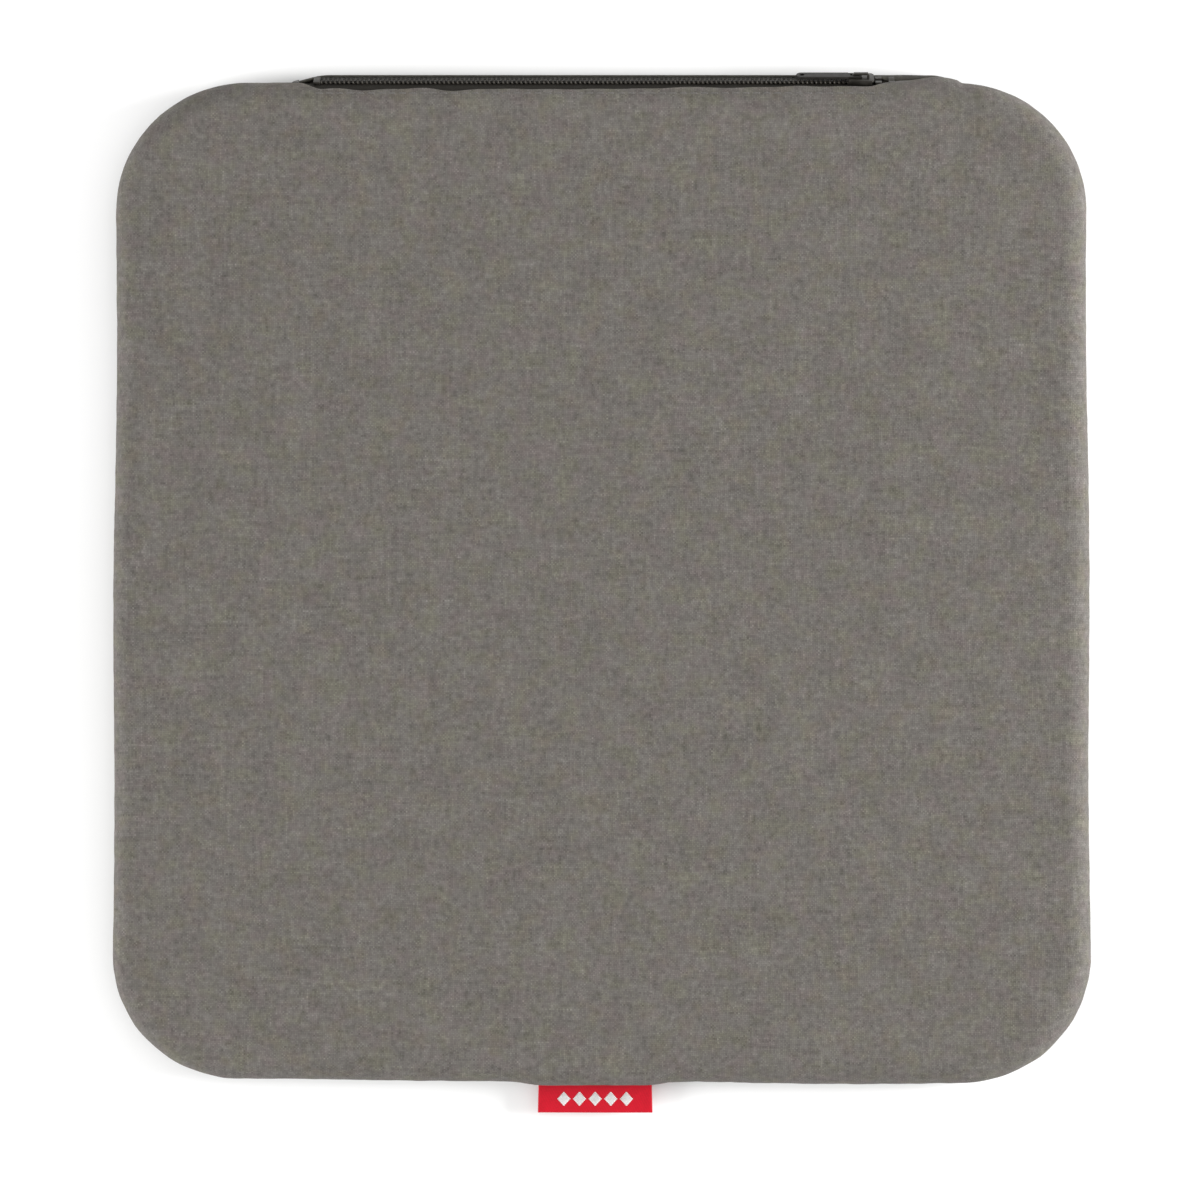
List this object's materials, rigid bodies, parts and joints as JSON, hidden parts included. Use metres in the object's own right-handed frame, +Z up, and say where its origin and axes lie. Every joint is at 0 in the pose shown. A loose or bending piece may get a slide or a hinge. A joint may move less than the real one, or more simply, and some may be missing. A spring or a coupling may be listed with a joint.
{
  "type": "padded mat",
  "caption": "Slim square padded mat: a layered foam insert in a zip-off cloth cover with a small folded tag in the front seam, for kneeling or pressing on.",
  "frame": {"origin": "middle of the flat underside, on the surface the mat lies on", "axes": "+Z up through the mat, +Y towards the zip, -Y towards the tag, +X towards the zip's closed end"},
  "size_m": [0.301, 0.3198, 0.016],
  "materials": {
    "cover_top_cloth": "heathered plain weave",
    "cover_bottom_cloth": "charcoal canvas",
    "seam_thread": "sewing thread",
    "tag_satin": "woven satin",
    "motif_thread": "woven satin",
    "label_satin": "satin",
    "zip_tape": "twill tape",
    "zip_coil": "matte nylon",
    "zip_thread": "sewing thread",
    "topstitch": "sewing thread",
    "zip_metal": "dark lacquer",
    "liner_cloth": "plain nonwoven",
    "felt_white": "needled felt",
    "felt_grey": "needled felt",
    "foam": "closed-cell foam",
    "foil": "bright film"
  },
  "bodies": {
    "mat": {"top_cover": "cover_top_cloth", "bottom_cover": "cover_bottom_cloth", "seam_thread": "seam_thread", "seam_overlock": "seam_thread", "front_tag": "tag_satin", "tag_motif": "motif_thread", "care_label": "label_satin", "zip_tape_upper": "zip_tape", "zip_tape_lower": "zip_tape", "coil_upper": "zip_coil", "coil_lower": "zip_coil", "coil_cord_upper": "zip_thread", "coil_cord_lower": "zip_thread", "coil_thread_upper": "zip_thread", "coil_thread_lower": "zip_thread", "topstitch_upper": "topstitch", "topstitch_lower": "topstitch", "top_stops": "zip_metal", "bottom_stop": "zip_metal", "bartack_left": "topstitch", "bartack_right": "topstitch", "liner_top": "liner_cloth", "liner_bottom": "liner_cloth", "liner_stitching": "zip_thread", "wicking_felt": "felt_white", "foil_membrane": "foil", "foam_core": "foam", "base_felt": "felt_grey"},
    "slider": {"slider_body": "zip_metal"},
    "pull": {"pull_tab": "zip_metal"}
  },
  "joints": [
    {"name": "slider_travel", "type": "slide", "parent": "mat", "child": "slider", "axis": [-1, 0, 0], "range_m": [0, 0.162], "deforming": ["coil_upper", "coil_lower", "coil_cord_upper", "coil_cord_lower"]},
    {"name": "pull_flip", "type": "hinge", "parent": "slider", "child": "pull", "pos_m": [0.08, 0.15593, 0.00969], "axis": [0, 0.5, -0.866], "range_deg": [0, 150]}
  ]
}
